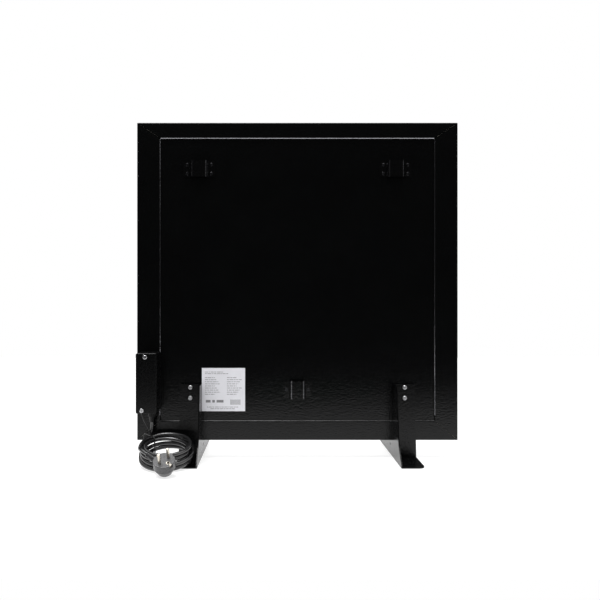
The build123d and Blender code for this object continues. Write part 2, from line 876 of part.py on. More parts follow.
# Inner leads: from the block to the thermal cutout, to the track and to the casing
axis_y = behind(lead_axis_behind)
through_y = plate_outer_y + lead_depth
tab_face_y = track_y - tab_thickness
live_bore_x = box_centre_x - grommet_bore + wire_radius + lead_inset
lead_live = make_wire(
    [
        (pole_x[0], axis_y, block_top),
        (pole_x[0], axis_y, block_top + live_rise),
        (live_bore_x, axis_y, grommet_z),
        (live_bore_x, through_y, grommet_z),
        (cutout_x - tab_run + tab_hold, through_y, live_pad_z),
        (cutout_x - tab_run + tab_hold, tab_face_y, live_pad_z),
    ]
)
lead_live.part.label = "lead_live"
export_step(lead_live.part, "parts/lead_live.step")

lead_neutral = make_wire(
    [
        (pole_x[1], axis_y, block_top),
        (pole_x[1], axis_y, grommet_z),
        (pole_x[1], through_y - lead_step, grommet_z),
        (tail_x, through_y - lead_step, neutral_pad_z),
        (tail_x, track_y, neutral_pad_z),
    ]
)
lead_neutral.part.label = "lead_neutral"
export_step(lead_neutral.part, "parts/lead_neutral.step")

# Earth lead: ends in a ring under the head of the earth screw
ring_y = box_floor_y
with BuildPart() as lead_earth:
    with BuildLine() as earth_route:
        wire_path(
            [
                (pole_x[2], axis_y, block_top),
                (pole_x[2], axis_y, block_top + earth_rise),
                (earth_place[0], ring_y - wire_radius - wire_seat_gap, earth_place[1] - earth_lay),
                (earth_place[0], ring_y - wire_radius - wire_seat_gap, earth_place[1] - earth_end),
            ],
            wire_bend,
        )
    with BuildSketch(Plane(origin=(pole_x[2], axis_y, block_top), z_dir=(0, 0, 1))):
        Circle(wire_radius)
    sweep(path=earth_route.line)
    with BuildSketch(upright(ring_y)):
        with Locations(earth_place):
            Circle(ring_radius)
    extrude(amount=ring_thickness)
    with BuildSketch(upright(ring_y)):
        with Locations(earth_place):
            Circle(screw_radius + thread_clearance)
    extrude(amount=3 * wire_radius, mode=Mode.SUBTRACT)
    with BuildSketch(upright(ring_y - ring_thickness)):
        with Locations(earth_place):
            Circle(ring_radius)
    extrude(amount=3 * wire_radius, mode=Mode.SUBTRACT)
lead_earth.part.label = "lead_earth"
export_step(lead_earth.part, "parts/lead_earth.step")

# Earth screw: ties the ring to the casing
with BuildPart() as earth_screw:
    pan_head(ring_y - ring_thickness, [earth_place], screw_head_radius, screw_head_height)
    with BuildSketch(upright(ring_y - ring_thickness)):
        with Locations(earth_place):
            Circle(screw_radius)
    extrude(amount=-earth_thread)
    cross_recess(ring_y - ring_thickness - screw_head_height, [earth_place], recess_length)
earth_screw.part.label = "earth_screw"
export_step(earth_screw.part, "parts/earth_screw.step")

# Cable gland: a threaded stem through the box and a fluted collar under it
gland_centre = (gland_x, behind(gland_behind))
gland_low = box_bottom - gland_collar_height
bore_radius = cord_radius + bore_clearance
with BuildPart() as cable_gland:
    with BuildSketch(Plane.XY.offset(gland_low)):
        with Locations(gland_centre):
            Circle(gland_collar_radius)
            with PolarLocations(gland_collar_radius, gland_collar_ribs):
                Circle(gland_rib_radius, mode=Mode.SUBTRACT)
    extrude(amount=gland_collar_height)
    with BuildSketch(Plane.XY.offset(box_bottom)):
        with Locations(gland_centre):
            Circle(gland_stem_radius)
    extrude(amount=gland_stem_length)
    with BuildSketch(Plane.XY.offset(gland_low)):
        with Locations(gland_centre):
            Circle(bore_radius)
    extrude(amount=gland_collar_height + gland_stem_length, mode=Mode.SUBTRACT)
cable_gland.part.label = "cable_gland"
export_step(cable_gland.part, "parts/cable_gland.step")

# Locknut: holds the gland from inside the box
with BuildPart() as gland_locknut:
    with BuildSketch(Plane.XY.offset(box_bottom + box_wall)):
        with Locations(gland_centre):
            RegularPolygon(locknut_across / 2, 6, major_radius=False, rotation=30)
            Circle(gland_stem_radius + thread_clearance, mode=Mode.SUBTRACT)
    extrude(amount=locknut_height)
gland_locknut.part.label = "gland_locknut"
export_step(gland_locknut.part, "parts/gland_locknut.step")

# Bend sleeve: the tapered strain relief under the gland
with BuildPart() as bend_sleeve:
    with BuildSketch(Plane.XY.offset(bend_sleeve_end)):
        with Locations(gland_centre):
            Circle(bend_sleeve_tip_radius)
    with BuildSketch(Plane.XY.offset(gland_low)):
        with Locations(gland_centre):
            Circle(bend_sleeve_top_radius)
    loft(ruled=True)
    with BuildSketch(Plane.XY.offset(bend_sleeve_end)):
        with Locations(gland_centre):
            Circle(bore_radius)
    extrude(amount=gland_low - bend_sleeve_end, mode=Mode.SUBTRACT)
bend_sleeve.part.label = "bend_sleeve"
export_step(bend_sleeve.part, "parts/bend_sleeve.step")

# Sheath end: the cord inside the sleeve, the gland and the box
with BuildPart() as cord_sheath_end:
    with BuildSketch(Plane.XY.offset(bend_sleeve_end)):
        with Locations(gland_centre):
            Circle(cord_radius)
    extrude(amount=sheath_top - bend_sleeve_end)
cord_sheath_end.part.label = "cord_sheath_end"
export_step(cord_sheath_end.part, "parts/cord_sheath_end.step")

# Mains cores: three wires that fan out from the sheath to the block
core_starts = [
    (gland_centre[0] + core_spread * cos(a), gland_centre[1] + core_spread * sin(a))
    for a in (radians(150), radians(270), radians(30))
]
with BuildPart() as mains_cores:
    for start, end_x in zip(core_starts, pole_x):
        points = [
            (start[0], start[1], sheath_top),
            (start[0], start[1], sheath_top + core_straight),
            (end_x, axis_y, block_bottom - core_straight),
            (end_x, axis_y, block_bottom),
        ]
        with BuildLine() as core_route:
            wire_path(points, wire_bend)
        with BuildSketch(Plane(origin=points[0], z_dir=(0, 0, 1))):
            Circle(core_radius)
        sweep(path=core_route.line)
mains_cores.part.label = "mains_cores"
export_step(mains_cores.part, "parts/mains_cores.step")

# Cord coil: about five loose turns in four layers, tied at the upper left
coil_height = (
    cord_radius + coil_floor_gap + (coil_mean_radius + coil_swing) * sin(radians(coil_tilt))
)
coil_plane = Plane(
    origin=(coil_centre_x, behind(coil_centre_behind), coil_height),
    x_dir=(1, 0, 0),
    z_dir=(0, -sin(radians(coil_tilt)), cos(radians(coil_tilt))),
)


def coil_local(turn):
    """Radius, angle and height of the coil after so many turns, in its own tilted plane.

    The radius swings in and out once in two layers, and the height climbs one step in the
    half turn where the radius reverses.
    """
    angle = radians(coil_start_angle + 360 * turn)
    radius = coil_mean_radius + coil_swing * cos(pi * turn * coil_layers / coil_turns)
    height = 0.0
    for layer in range(1, coil_layers):
        reversal = layer * coil_turns / coil_layers
        share = min(max((turn - reversal) / coil_climb + 0.5, 0.0), 1.0)
        height += coil_step * share * share * (3 - 2 * share)
    return radius, angle, height


def coil_point(turn):
    """A point of the coil's middle line, in the object's frame."""
    radius, angle, height = coil_local(turn)
    return coil_plane.from_local_coords(Vector(radius * cos(angle), radius * sin(angle), height))


def coil_tangent(turn, step=1e-4):
    """Direction of the coil's middle line."""
    return (coil_point(turn + step) - coil_point(turn - step)).normalized()


def add_biarc(start, start_dir, end, end_dir):
    """Two tangent arcs from start to end, whose joint lies midway between equal handles."""
    chord, both = end - start, start_dir + end_dir
    bend = 2 * (1 - start_dir.dot(end_dir))
    reach = (sqrt(chord.dot(both) ** 2 + bend * chord.dot(chord)) - chord.dot(both)) / bend
    first, second = start + start_dir * reach, end - end_dir * reach
    joint = (first + second) * 0.5
    TangentArc(start, joint, tangent=start_dir)
    TangentArc(joint, end, tangent=(second - first).normalized())


# Plug frame: pins along the normal, the cord leaving along the plane's X
plug_normal = Vector(0, -sin(radians(plug_tilt)), cos(radians(plug_tilt)))
exit_flat = Vector(-cos(radians(plug_turn)), sin(radians(plug_turn)), 0)
exit_dir = (exit_flat - plug_normal * exit_flat.dot(plug_normal)).normalized()
plug_height = (
    plug_floor_gap
    + plug_back_radius * sin(radians(plug_tilt))
    + plug_depth * cos(radians(plug_tilt))
)
plug_face = Plane(
    origin=(plug_x, behind(plug_behind), plug_height), x_dir=exit_dir, z_dir=plug_normal
)
relief_start = plug_face.from_local_coords(Vector(boss_out, 0, -exit_below))
relief_end = plug_face.from_local_coords(Vector(boss_out + relief_length, 0, -exit_below))

coil_start, coil_start_dir = coil_point(0), coil_tangent(0)
lead_end = coil_start - coil_start_dir * cord_diameter
tail_start = relief_end + exit_dir * cord_diameter
quarter_turns = [k / 4 for k in range(int(coil_turns * 4) + 1)]
with BuildPart() as cord_coil:
    with BuildLine() as coil_route:
        Line(lead_end, coil_start)
        for before, after in zip(quarter_turns, quarter_turns[1:]):
            add_biarc(coil_point(before), coil_tangent(before), coil_point(after), coil_tangent(after))
        last = quarter_turns[-1]
        add_biarc(coil_point(last), coil_tangent(last), tail_start, exit_dir * -1)
        Line(tail_start, relief_end)
    with BuildSketch(Plane(origin=lead_end, z_dir=coil_start_dir)):
        Circle(cord_radius)
    sweep(path=coil_route.line)
cord_coil.part.label = "cord_coil"
export_step(cord_coil.part, "parts/cord_coil.step")


def least_self_gap(line, count):
    """Least free space between turns, measured on points more than a third of a turn apart."""
    points = [line.position_at(k / count) for k in range(count + 1)]
    skip = int(count / (coil_turns * 3))
    least = min(
        (points[i] - points[j]).length
        for i in range(len(points))
        for j in range(i + skip, len(points))
    )
    return least - cord_diameter


coil_wire = coil_route.wire()
coil_length = coil_wire.length
coil_gap = least_self_gap(coil_wire, 500)
print("coil: length", round(coil_length, 1), "least gap to itself", round(coil_gap, 2))
print("coil gap is enough:", coil_gap > least_gap_allowed)
section = pi * cord_radius**2
print("coil: volume over section times length", round(cord_coil.part.volume / section / coil_length, 4))

# Cord lead: from the bend sleeve down to the coil
lead_points = [
    Vector(gland_x, behind(gland_behind), bend_sleeve_end),
    *[Vector(gland_x + x, behind(distance), z) for x, distance, z in lead_corners],
    lead_end - coil_start_dir * lead_last_run,
    lead_end,
]
lead_radii = check_runs("lead", lead_points, cord_diameter)
with BuildPart() as cord_lead:
    with BuildLine() as lead_route:
        FilletPolyline(*lead_points, radius=lead_radii)
    with BuildSketch(Plane.XY.offset(bend_sleeve_end)):
        with Locations((gland_x, behind(gland_behind))):
            Circle(cord_radius)
    sweep(path=lead_route.line)
cord_lead.part.label = "cord_lead"
export_step(cord_lead.part, "parts/cord_lead.step")
lead_length = lead_route.wire().length
print("lead: volume over section times length", round(cord_lead.part.volume / section / lead_length, 4))
print("cord: whole length", round(lead_length + coil_length, 1))

# Cord tie: a wire loop round the bundle of turns, with a tail up to the box
tie_turn_angle = radians(tie_angle)
tie_plane = Plane(
    origin=coil_plane.origin,
    x_dir=coil_plane.x_dir * cos(tie_turn_angle) + coil_plane.y_dir * sin(tie_turn_angle),
    z_dir=coil_plane.x_dir * sin(tie_turn_angle) - coil_plane.y_dir * cos(tie_turn_angle),
)
with BuildPart() as cord_tie:
    with BuildSketch(tie_plane):
        loop_middle = ((tie_inner_low + tie_inner_high) / 2, (tie_above - tie_below) / 2)
        loop_width, loop_height = tie_inner_high - tie_inner_low, tie_above + tie_below
        with Locations(loop_middle):
            RectangleRounded(
                loop_width + 4 * tie_wire_radius,
                loop_height + 4 * tie_wire_radius,
                tie_corner + 2 * tie_wire_radius,
            )
            RectangleRounded(loop_width, loop_height, tie_corner, mode=Mode.SUBTRACT)
    extrude(amount=tie_wire_radius, both=True)
    tail_root = tie_plane.from_local_coords(Vector(tie_tail_at, tie_above + tie_wire_radius, 0))
    tail_points = [tail_root] + [Vector(gland_x + x, behind(distance), z) for x, distance, z in tie_tail]
    with BuildLine() as tail_route:
        FilletPolyline(*tail_points, radius=tie_tail_bend)
    with BuildSketch(Plane(origin=tail_root, z_dir=tail_points[1] - tail_root)):
        Circle(tie_tail_radius)
    sweep(path=tail_route.line)
cord_tie.part.label = "cord_tie"
export_step(cord_tie.part, "parts/cord_tie.step")

# Plug body: a round face over a skirt, drawn in to a smaller back, with notches for the clips
with BuildPart() as plug_body:
    with BuildSketch(plug_face.offset(-plug_skirt)):
        Circle(plug_radius)
    extrude(amount=plug_skirt)
    fillet(plug_body.faces().sort_by(Axis.Z)[-1].edges(), plug_edge)
    with BuildSketch(plug_face.offset(-plug_skirt)):
        Circle(plug_radius)
    with BuildSketch(plug_face.offset(-plug_depth)):
        Circle(plug_back_radius)
    loft(ruled=True)
    boss_plane = Plane(
        origin=plug_face.from_local_coords(Vector(0, 0, -exit_below)),
        x_dir=plug_face.y_dir,
        z_dir=exit_dir,
    )
    with BuildSketch(boss_plane):
        Circle(boss_width_radius)
    extrude(amount=boss_out)
    with BuildSketch(plug_face):
        for side in (-1, 1):
            with Locations((side * (plug_radius - notch_depth / 2), 0)):
                Rectangle(notch_depth, notch_width)
        with Locations((0, -pin_spacing / 2), (0, pin_spacing / 2)):
            Circle(pin_radius + thread_clearance)
    extrude(amount=-pin_root, mode=Mode.SUBTRACT)
    with BuildSketch(plug_face):
        with Locations((-socket_offset, 0)):
            Circle(socket_outer + thread_clearance)
    extrude(amount=-socket_depth, mode=Mode.SUBTRACT)
plug_body.part.label = "plug_body"
export_step(plug_body.part, "parts/plug_body.step")

# Plug pins
with BuildPart() as plug_pins:
    with BuildSketch(plug_face.offset(-pin_root)):
        with Locations((0, -pin_spacing / 2), (0, pin_spacing / 2)):
            Circle(pin_radius)
    extrude(amount=pin_root + pin_length)
    tips = plug_pins.faces().group_by(SortBy.AREA)[0].sort_by(Axis.Z)[-2:]
    fillet(tips.edges(), pin_tip)
plug_pins.part.label = "plug_pins"
export_step(plug_pins.part, "parts/plug_pins.step")

# Earth clips: a bent strip in each notch
with BuildPart() as plug_earth_clips:
    with BuildSketch(plug_face.offset(-pin_root)):
        for side in (-1, 1):
            with Locations((side * (plug_radius - notch_depth + clip_thickness / 2), 0)):
                Rectangle(clip_thickness, clip_width)
    extrude(amount=pin_root)
    with BuildSketch(plug_face.offset(-clip_thickness)):
        for side in (-1, 1):
            with Locations((side * (plug_radius - notch_depth + clip_lip / 2), 0)):
                Rectangle(clip_lip, clip_width)
    extrude(amount=clip_thickness)
plug_earth_clips.part.label = "plug_earth_clips"
export_step(plug_earth_clips.part, "parts/plug_earth_clips.step")

# Earth socket: a metal sleeve sunk into the face
with BuildPart() as plug_earth_socket:
    with BuildSketch(plug_face.offset(-socket_depth)):
        with Locations((-socket_offset, 0)):
            Circle(socket_outer)
            Circle(socket_bore, mode=Mode.SUBTRACT)
    extrude(amount=socket_depth)
plug_earth_socket.part.label = "plug_earth_socket"
export_step(plug_earth_socket.part, "parts/plug_earth_socket.step")

# Plug bend relief: a tapered sleeve with grooves
relief_plane = Plane(origin=relief_start, x_dir=plug_face.y_dir, z_dir=exit_dir)
with BuildPart() as plug_bend_relief:
    with BuildSketch(relief_plane):
        Circle(relief_root_radius)
    with BuildSketch(relief_plane.offset(relief_length)):
        Circle(relief_tip_radius)
    loft(ruled=True)
    rib_pitch = relief_length / (relief_ribs + 0.5)
    for rib in range(relief_ribs):
        groove_at = rib_pitch * (rib + 0.5)
        at_radius = relief_root_radius + (relief_tip_radius - relief_root_radius) * groove_at / relief_length
        with BuildSketch(relief_plane.offset(groove_at)):
            Circle(relief_root_radius + 1)
            Circle(at_radius - relief_groove, mode=Mode.SUBTRACT)
        extrude(amount=rib_pitch - relief_rib_width, mode=Mode.SUBTRACT)
plug_bend_relief.part.label = "plug_bend_relief"
export_step(plug_bend_relief.part, "parts/plug_bend_relief.step")
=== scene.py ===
"""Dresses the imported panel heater, lays its cord and sets up the studio. Metres throughout."""

import logging
import math
from dataclasses import dataclass, field
from enum import Enum

import bpy
import numpy as np
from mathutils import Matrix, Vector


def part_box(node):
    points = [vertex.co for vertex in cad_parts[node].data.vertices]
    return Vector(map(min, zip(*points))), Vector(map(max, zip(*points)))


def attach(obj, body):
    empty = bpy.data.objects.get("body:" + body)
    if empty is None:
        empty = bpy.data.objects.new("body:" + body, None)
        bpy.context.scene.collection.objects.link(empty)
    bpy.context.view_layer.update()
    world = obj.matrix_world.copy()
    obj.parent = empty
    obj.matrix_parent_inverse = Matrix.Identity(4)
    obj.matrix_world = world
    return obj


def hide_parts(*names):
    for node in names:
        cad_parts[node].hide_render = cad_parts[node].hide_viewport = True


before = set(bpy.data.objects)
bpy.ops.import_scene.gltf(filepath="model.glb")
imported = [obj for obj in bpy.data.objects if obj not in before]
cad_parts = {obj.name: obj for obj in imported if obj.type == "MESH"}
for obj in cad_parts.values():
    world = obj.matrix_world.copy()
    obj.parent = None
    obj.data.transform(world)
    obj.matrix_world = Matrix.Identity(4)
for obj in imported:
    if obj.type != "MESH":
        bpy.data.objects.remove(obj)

LOG = logging.getLogger("heater")
BODY = "root"

# The rear face of the casing's rim, as in the CAD part.
BACK_Y = -0.033

Colour = tuple[float, float, float]
Point = tuple[float, float, float]
Span = tuple[float, float]
Row = tuple[float, float, float, int]
Mark = tuple[float, float, float, float]

BLACK: Colour = (0.0, 0.0, 0.0)
WHITE: Colour = (1.0, 1.0, 1.0)

# Where most values of a noise lie, and the wider span that the faint clouds use.
NOISE_SPAN: Span = (0.3, 0.7)
CLOUD_SPAN: Span = (0.3, 0.75)

# How far sideways a surface leans where it counts as a bend, which gets the brackets' painted highlight.
BEND_LEAN: Span = (0.08, 0.92)

# Socket numbers of a colour mix node.
MIX_SHARE, MIX_UNDER, MIX_OVER, MIX_RESULT = 0, 6, 7, 2

# The folded lip round the recess, where a painted highlight stands in for the bright floor's reflection:
# just behind the back plane, across and up.
LIP_HIGHLIGHT_SPANS: tuple[tuple[str, Span], ...] = (
    ("Y", (BACK_Y + 0.0003, BACK_Y + 0.0031)),
    ("X", (-0.262, 0.262)),
    ("Z", (0.08, 0.603)),
)


class Light(Enum):
    """Which lamp of the studio a light is."""

    KEY = "key"
    FILL = "fill"


class Surface(Enum):
    """Kind of unevenness of a layer, each with its features per metre."""

    PATCHES = 90.0
    GRAINS = 1200.0
    FIBRES = 420.0


# Finishes


class NodeGraph:
    """A material's node tree, with short calls to add and join its nodes."""

    def __init__(self, name: str) -> None:
        """Starts an empty tree with its output and its main shader.

        Args:
            name: name of the material.
        """
        self.material = bpy.data.materials.new(name)
        self.material.use_nodes = True
        self.tree = self.material.node_tree
        self.tree.nodes.clear()
        self.output = self.tree.nodes.new("ShaderNodeOutputMaterial")
        self.shader = self.tree.nodes.new("ShaderNodeBsdfPrincipled")
        self.tree.links.new(self.shader.outputs[0], self.output.inputs[0])
        self.coords = self.tree.nodes.new("ShaderNodeTexCoord")

    def add(self, kind: str, values: dict[str, object] | None = None, **settings: object) -> bpy.types.Node:
        """Adds a node.

        Args:
            kind: the node's type.
            values: values for its input sockets, by name.
            settings: attributes of the node itself.

        Returns:
            The new node.
        """
        node = self.tree.nodes.new(kind)
        for key, value in settings.items():
            setattr(node, key, value)
        for key, value in (values or {}).items():
            node.inputs[key].default_value = value
        return node

    def join(self, source: bpy.types.NodeSocket, target: bpy.types.NodeSocket) -> None:
        """Links an output socket to an input socket.

        Args:
            source: where the value comes from.
            target: where it goes.
        """
        self.tree.links.new(source, target)

    def set(self, **values: object) -> None:
        """Sets uniform numbers straight on the shader's own sockets.

        Args:
            values: socket names with underscores for spaces, and their values.
        """
        for key, value in values.items():
            self.shader.inputs[key.replace("_", " ")].default_value = value

    def noise(self, scale: float, detail: float = 3.0, rough: float = 0.55) -> bpy.types.Node:
        """A noise texture on Object coordinates.

        Args:
            scale: how many features fit a metre.
            detail: octaves.
            rough: how much the small ones weigh.

        Returns:
            The texture node.
        """
        node = self.add("ShaderNodeTexNoise", {"Scale": scale, "Detail": detail, "Roughness": rough})
        self.join(self.coords.outputs["Object"], node.inputs["Vector"])
        return node

    def ramp(
        self, source: bpy.types.NodeSocket, span: Span, first: Colour, second: Colour
    ) -> bpy.types.NodeSocket:
        """A colour ramp between two colours.

        Args:
            source: the value that is read.
            span: where the first colour ends and where the second one starts.
            first: colour of low values.
            second: colour of high values.

        Returns:
            The ramp's colour.
        """
        node = self.add("ShaderNodeValToRGB")
        for stop, position, colour in zip(node.color_ramp.elements, span, (first, second)):
            stop.position = position
            stop.color = (*colour, 1.0)
        self.join(source, node.inputs[0])
        return node.outputs[0]

    def spread(self, source: bpy.types.NodeSocket, low: float, high: float) -> bpy.types.NodeSocket:
        """Maps the usual span of a noise onto low to high.

        Args:
            source: the value that is read.
            low: result for the low end.
            high: result for the high end.

        Returns:
            The mapped value.
        """
        start, end = NOISE_SPAN
        values = {"From Min": start, "From Max": end, "To Min": low, "To Max": high}
        node = self.add("ShaderNodeMapRange", values)
        self.join(source, node.inputs["Value"])
        return node.outputs[0]

    def within(self, source: bpy.types.NodeSocket, span: Span) -> bpy.types.NodeSocket:
        """A mask that is 1 where a value lies in a span, else 0.

        Args:
            source: the value that is read.
            span: its lowest and highest value.

        Returns:
            The mask.
        """
        low, high = span
        node = self.add("ShaderNodeMath", operation="COMPARE")
        self.join(source, node.inputs[0])
        node.inputs[1].default_value = (low + high) / 2
        node.inputs[2].default_value = (high - low) / 2
        return node.outputs[0]

    def window(self, spans: dict[str, Span]) -> bpy.types.NodeSocket:
        """A mask that is 1 where every named Object coordinate lies in its span, else 0.

        Args:
            spans: lowest and highest value in metres, by axis.

        Returns:
            The mask.
        """
        axes = self.add("ShaderNodeSeparateXYZ")
        self.join(self.coords.outputs["Object"], axes.inputs[0])
        mask, *others = (self.within(axes.outputs[axis], span) for axis, span in spans.items())
        for other in others:
            both = self.add("ShaderNodeMath", operation="MULTIPLY")
            self.join(mask, both.inputs[0])
            self.join(other, both.inputs[1])
            mask = both.outputs[0]
        return mask

    def highlight_bends(self) -> bpy.types.NodeSocket:
        """A mask for the painted highlight: 1 where a surface turns between facing back and facing
        sideways.

        The lean is the size of the normal's X part: 0 facing back and 1 facing sideways.

        Returns:
            The mask.
        """
        facing = self.add("ShaderNodeNewGeometry")
        axes = self.add("ShaderNodeSeparateXYZ")
        self.join(facing.outputs["Normal"], axes.inputs[0])
        lean = self.add("ShaderNodeMath", operation="ABSOLUTE")
        self.join(axes.outputs["X"], lean.inputs[0])
        return self.within(lean.outputs[0], BEND_LEAN)

    def blend(self, under: bpy.types.NodeSocket, kind: str) -> bpy.types.Node:
        """Lays a second colour over a first one.

        Args:
            under: the first colour.
            kind: the node's way of blending.

        Returns:
            The mix node, whose factor and second colour are still to be given.
        """
        node = self.add("ShaderNodeMix", data_type="RGBA", blend_type=kind)
        self.join(under, node.inputs[MIX_UNDER])
        return node

    def bump(self, source: bpy.types.NodeSocket, strength: float, distance: float) -> None:
        """Raises the surface by a height, on top of any bump that is there already.

        Args:
            source: the height from 0 to 1.
            strength: how much of it counts.
            distance: its full height in metres.
        """
        node = self.add("ShaderNodeBump", {"Strength": strength, "Distance": distance})
        self.join(source, node.inputs["Height"])
        there = self.shader.inputs["Normal"]
        if there.is_linked:
            self.join(there.links[0].from_socket, node.inputs["Normal"])
        self.join(node.outputs[0], there)


@dataclass(frozen=True)
class PowderCoat:
    """Baked powder paint: orange peel, a faint cloudiness, tiny bright grains and a painted highlight.

    The painted highlight is a lighter, metallic colour that stands in for light reflected by folded
    edges. It lies inside the given spans, axis by axis, or, where asked, on all that turns between
    facing back and facing sideways.
    """

    name: str
    colour: Colour
    glow: Colour
    rough: float = 0.18
    grain: float = 420.0
    peel: float = 0.0005
    specular: float = 0.25
    # Colour of the painted highlight, standing in for light reflected at the folded or bent edges.
    highlight_colour: Colour = (0.31, 0.31, 0.33)
    highlight_spans: tuple[tuple[str, Span], ...] = ()
    highlight_bends: bool = False
    clouds: float = 14.0
    uneven: float = 0.04
    ripple: float = 357.0
    ripple_strength: float = 0.6
    spark_span: Span = (0.64, 0.84)
    spark_gain: float = 2.5

    def build(self) -> bpy.types.Material:
        """Makes the material.

        Returns:
            The finished material.
        """
        graph = NodeGraph(self.name)
        cloud = graph.noise(self.clouds, detail=4.0).outputs["Fac"]
        grain = graph.noise(self.grain, detail=2.0, rough=0.7).outputs["Fac"]
        tint = graph.ramp(cloud, CLOUD_SPAN, self.colour, self.glow)
        bright = tuple(self.spark_gain * part for part in self.glow)
        sparks = graph.blend(tint, "ADD")
        sparks.inputs[MIX_SHARE].default_value = 1.0
        graph.join(graph.ramp(grain, self.spark_span, BLACK, bright), sparks.inputs[MIX_OVER])
        colour = sparks.outputs[MIX_RESULT]
        # Painted highlight: a lighter colour and full metallic on the chosen edges, standing in for light
        # reflected there.
        if self.highlight_spans or self.highlight_bends:
            mask = graph.highlight_bends() if self.highlight_bends else graph.window(dict(self.highlight_spans))
            highlighted = graph.blend(colour, "MIX")
            graph.join(mask, highlighted.inputs[MIX_SHARE])
            highlighted.inputs[MIX_OVER].default_value = (*self.highlight_colour, 1.0)
            graph.join(mask, graph.shader.inputs["Metallic"])
            colour = highlighted.outputs[MIX_RESULT]
        graph.join(colour, graph.shader.inputs["Base Color"])
        gloss = graph.spread(grain, self.rough - self.uneven, self.rough + self.uneven)
        graph.join(gloss, graph.shader.inputs["Roughness"])
        graph.set(Specular_IOR_Level=self.specular)
        graph.bump(graph.noise(self.ripple, detail=2.0).outputs["Fac"], self.ripple_strength, self.peel)
        return graph.material


@dataclass(frozen=True)
class Metal:
    """Bare or plated metal with fine scratches and a little dulling."""

    name: str
    colour: Colour
    rough: float = 0.28
    dull_share: float = 0.78
    dull_scale: float = 700.0
    dull_span: Span = (0.35, 0.7)
    uneven: float = 0.14
    uneven_scale: float = 1800.0
    scratch: float = 0.00003
    scratch_scale: float = 2600.0
    scratch_strength: float = 0.3

    def build(self) -> bpy.types.Material:
        """Makes the material.

        Returns:
            The finished material.
        """
        graph = NodeGraph(self.name)
        dull = tuple(self.dull_share * part for part in self.colour)
        patches = graph.noise(self.dull_scale, detail=4.0).outputs["Fac"]
        tint = graph.ramp(patches, self.dull_span, dull, self.colour)
        graph.join(tint, graph.shader.inputs["Base Color"])
        grains = graph.noise(self.uneven_scale).outputs["Fac"]
        gloss = graph.spread(grains, self.rough, self.rough + self.uneven)
        graph.join(gloss, graph.shader.inputs["Roughness"])
        graph.set(Metallic=1.0)
        graph.bump(graph.noise(self.scratch_scale).outputs["Fac"], self.scratch_strength, self.scratch)
        return graph.material


@dataclass(frozen=True)
class Moulded:
    """Moulded plastic or rubber: an even colour with a fine spark-eroded grain."""

    name: str
    colour: Colour
    rough: float = 0.45
    grain: float = 2200.0
    depth: float = 0.00004
    specular: float = 0.45
    clouds: float = 120.0
    cloud_gain: float = 1.35
    uneven: Span = (-0.04, 0.07)
    uneven_scale: float = 300.0
    grain_strength: float = 0.4

    def build(self) -> bpy.types.Material:
        """Makes the material.

        Returns:
            The finished material.
        """
        graph = NodeGraph(self.name)
        light = tuple(self.cloud_gain * part for part in self.colour)
        cloud = graph.noise(self.clouds, detail=4.0).outputs["Fac"]
        tint = graph.ramp(cloud, CLOUD_SPAN, self.colour, light)
        graph.join(tint, graph.shader.inputs["Base Color"])
        less, more = self.uneven
        grains = graph.noise(self.uneven_scale).outputs["Fac"]
        gloss = graph.spread(grains, self.rough + less, self.rough + more)
        graph.join(gloss, graph.shader.inputs["Roughness"])
        graph.set(Specular_IOR_Level=self.specular)
        graph.bump(graph.noise(self.grain, detail=2.0).outputs["Fac"], self.grain_strength, self.depth)
        return graph.material


@dataclass(frozen=True)
class Layered:
    """A sheet or board of the heating stack, with patches, grains or fibres along X."""

    name: str
    colour: Colour
    other: Colour
    surface: Surface
    rough: float = 0.7
    metallic: float = 0.0
    fibre_stretch: tuple[float, float, float] = (0.15, 1.0, 1.0)
    uneven: Span = (-0.05, 0.1)
    relief: float = 0.0001
    relief_strength: float = 0.5

    def build(self) -> bpy.types.Material:
        """Makes the material.

        Returns:
            The finished material.
        """
        graph = NodeGraph(self.name)
        texture = graph.noise(self.surface.value, detail=6.0, rough=0.65)
        if self.surface is Surface.FIBRES:
            stretch = graph.add("ShaderNodeMapping", {"Scale": self.fibre_stretch})
            graph.join(graph.coords.outputs["Object"], stretch.inputs["Vector"])
            graph.join(stretch.outputs[0], texture.inputs["Vector"])
        grains = texture.outputs["Fac"]
        tint = graph.ramp(grains, NOISE_SPAN, self.colour, self.other)
        graph.join(tint, graph.shader.inputs["Base Color"])
        less, more = self.uneven
        gloss = graph.spread(grains, self.rough + less, self.rough + more)
        graph.join(gloss, graph.shader.inputs["Roughness"])
        graph.set(Metallic=self.metallic)
        graph.bump(grains, self.relief_strength, self.relief)
        return graph.material


@dataclass(frozen=True)
class Sticker:
    """Satin sticker film, very slightly rippled."""

    name: str
    colour: Colour
    rough: float = 0.5
    shade: float = 0.93
    shade_scale: float = 45.0
    uneven: Span = (-0.04, 0.05)
    uneven_scale: float = 220.0
    ripple: float = 0.0001
    ripple_scale: float = 80.0
    ripple_strength: float = 0.3

    def build(self) -> bpy.types.Material:
        """Makes the material.

        Returns:
            The finished material.
        """
        graph = NodeGraph(self.name)
        shaded = tuple(self.shade * part for part in self.colour)
        patches = graph.noise(self.shade_scale).outputs["Fac"]
        tint = graph.ramp(patches, NOISE_SPAN, shaded, self.colour)
        graph.join(tint, graph.shader.inputs["Base Color"])
        less, more = self.uneven
        grains = graph.noise(self.uneven_scale, detail=2.0).outputs["Fac"]
        gloss = graph.spread(grains, self.rough + less, self.rough + more)
        graph.join(gloss, graph.shader.inputs["Roughness"])
        waves = graph.noise(self.ripple_scale, detail=2.0).outputs["Fac"]
        graph.bump(waves, self.ripple_strength, self.ripple)
        return graph.material


Finish = PowderCoat | Metal | Moulded | Layered | Sticker


# Meshes


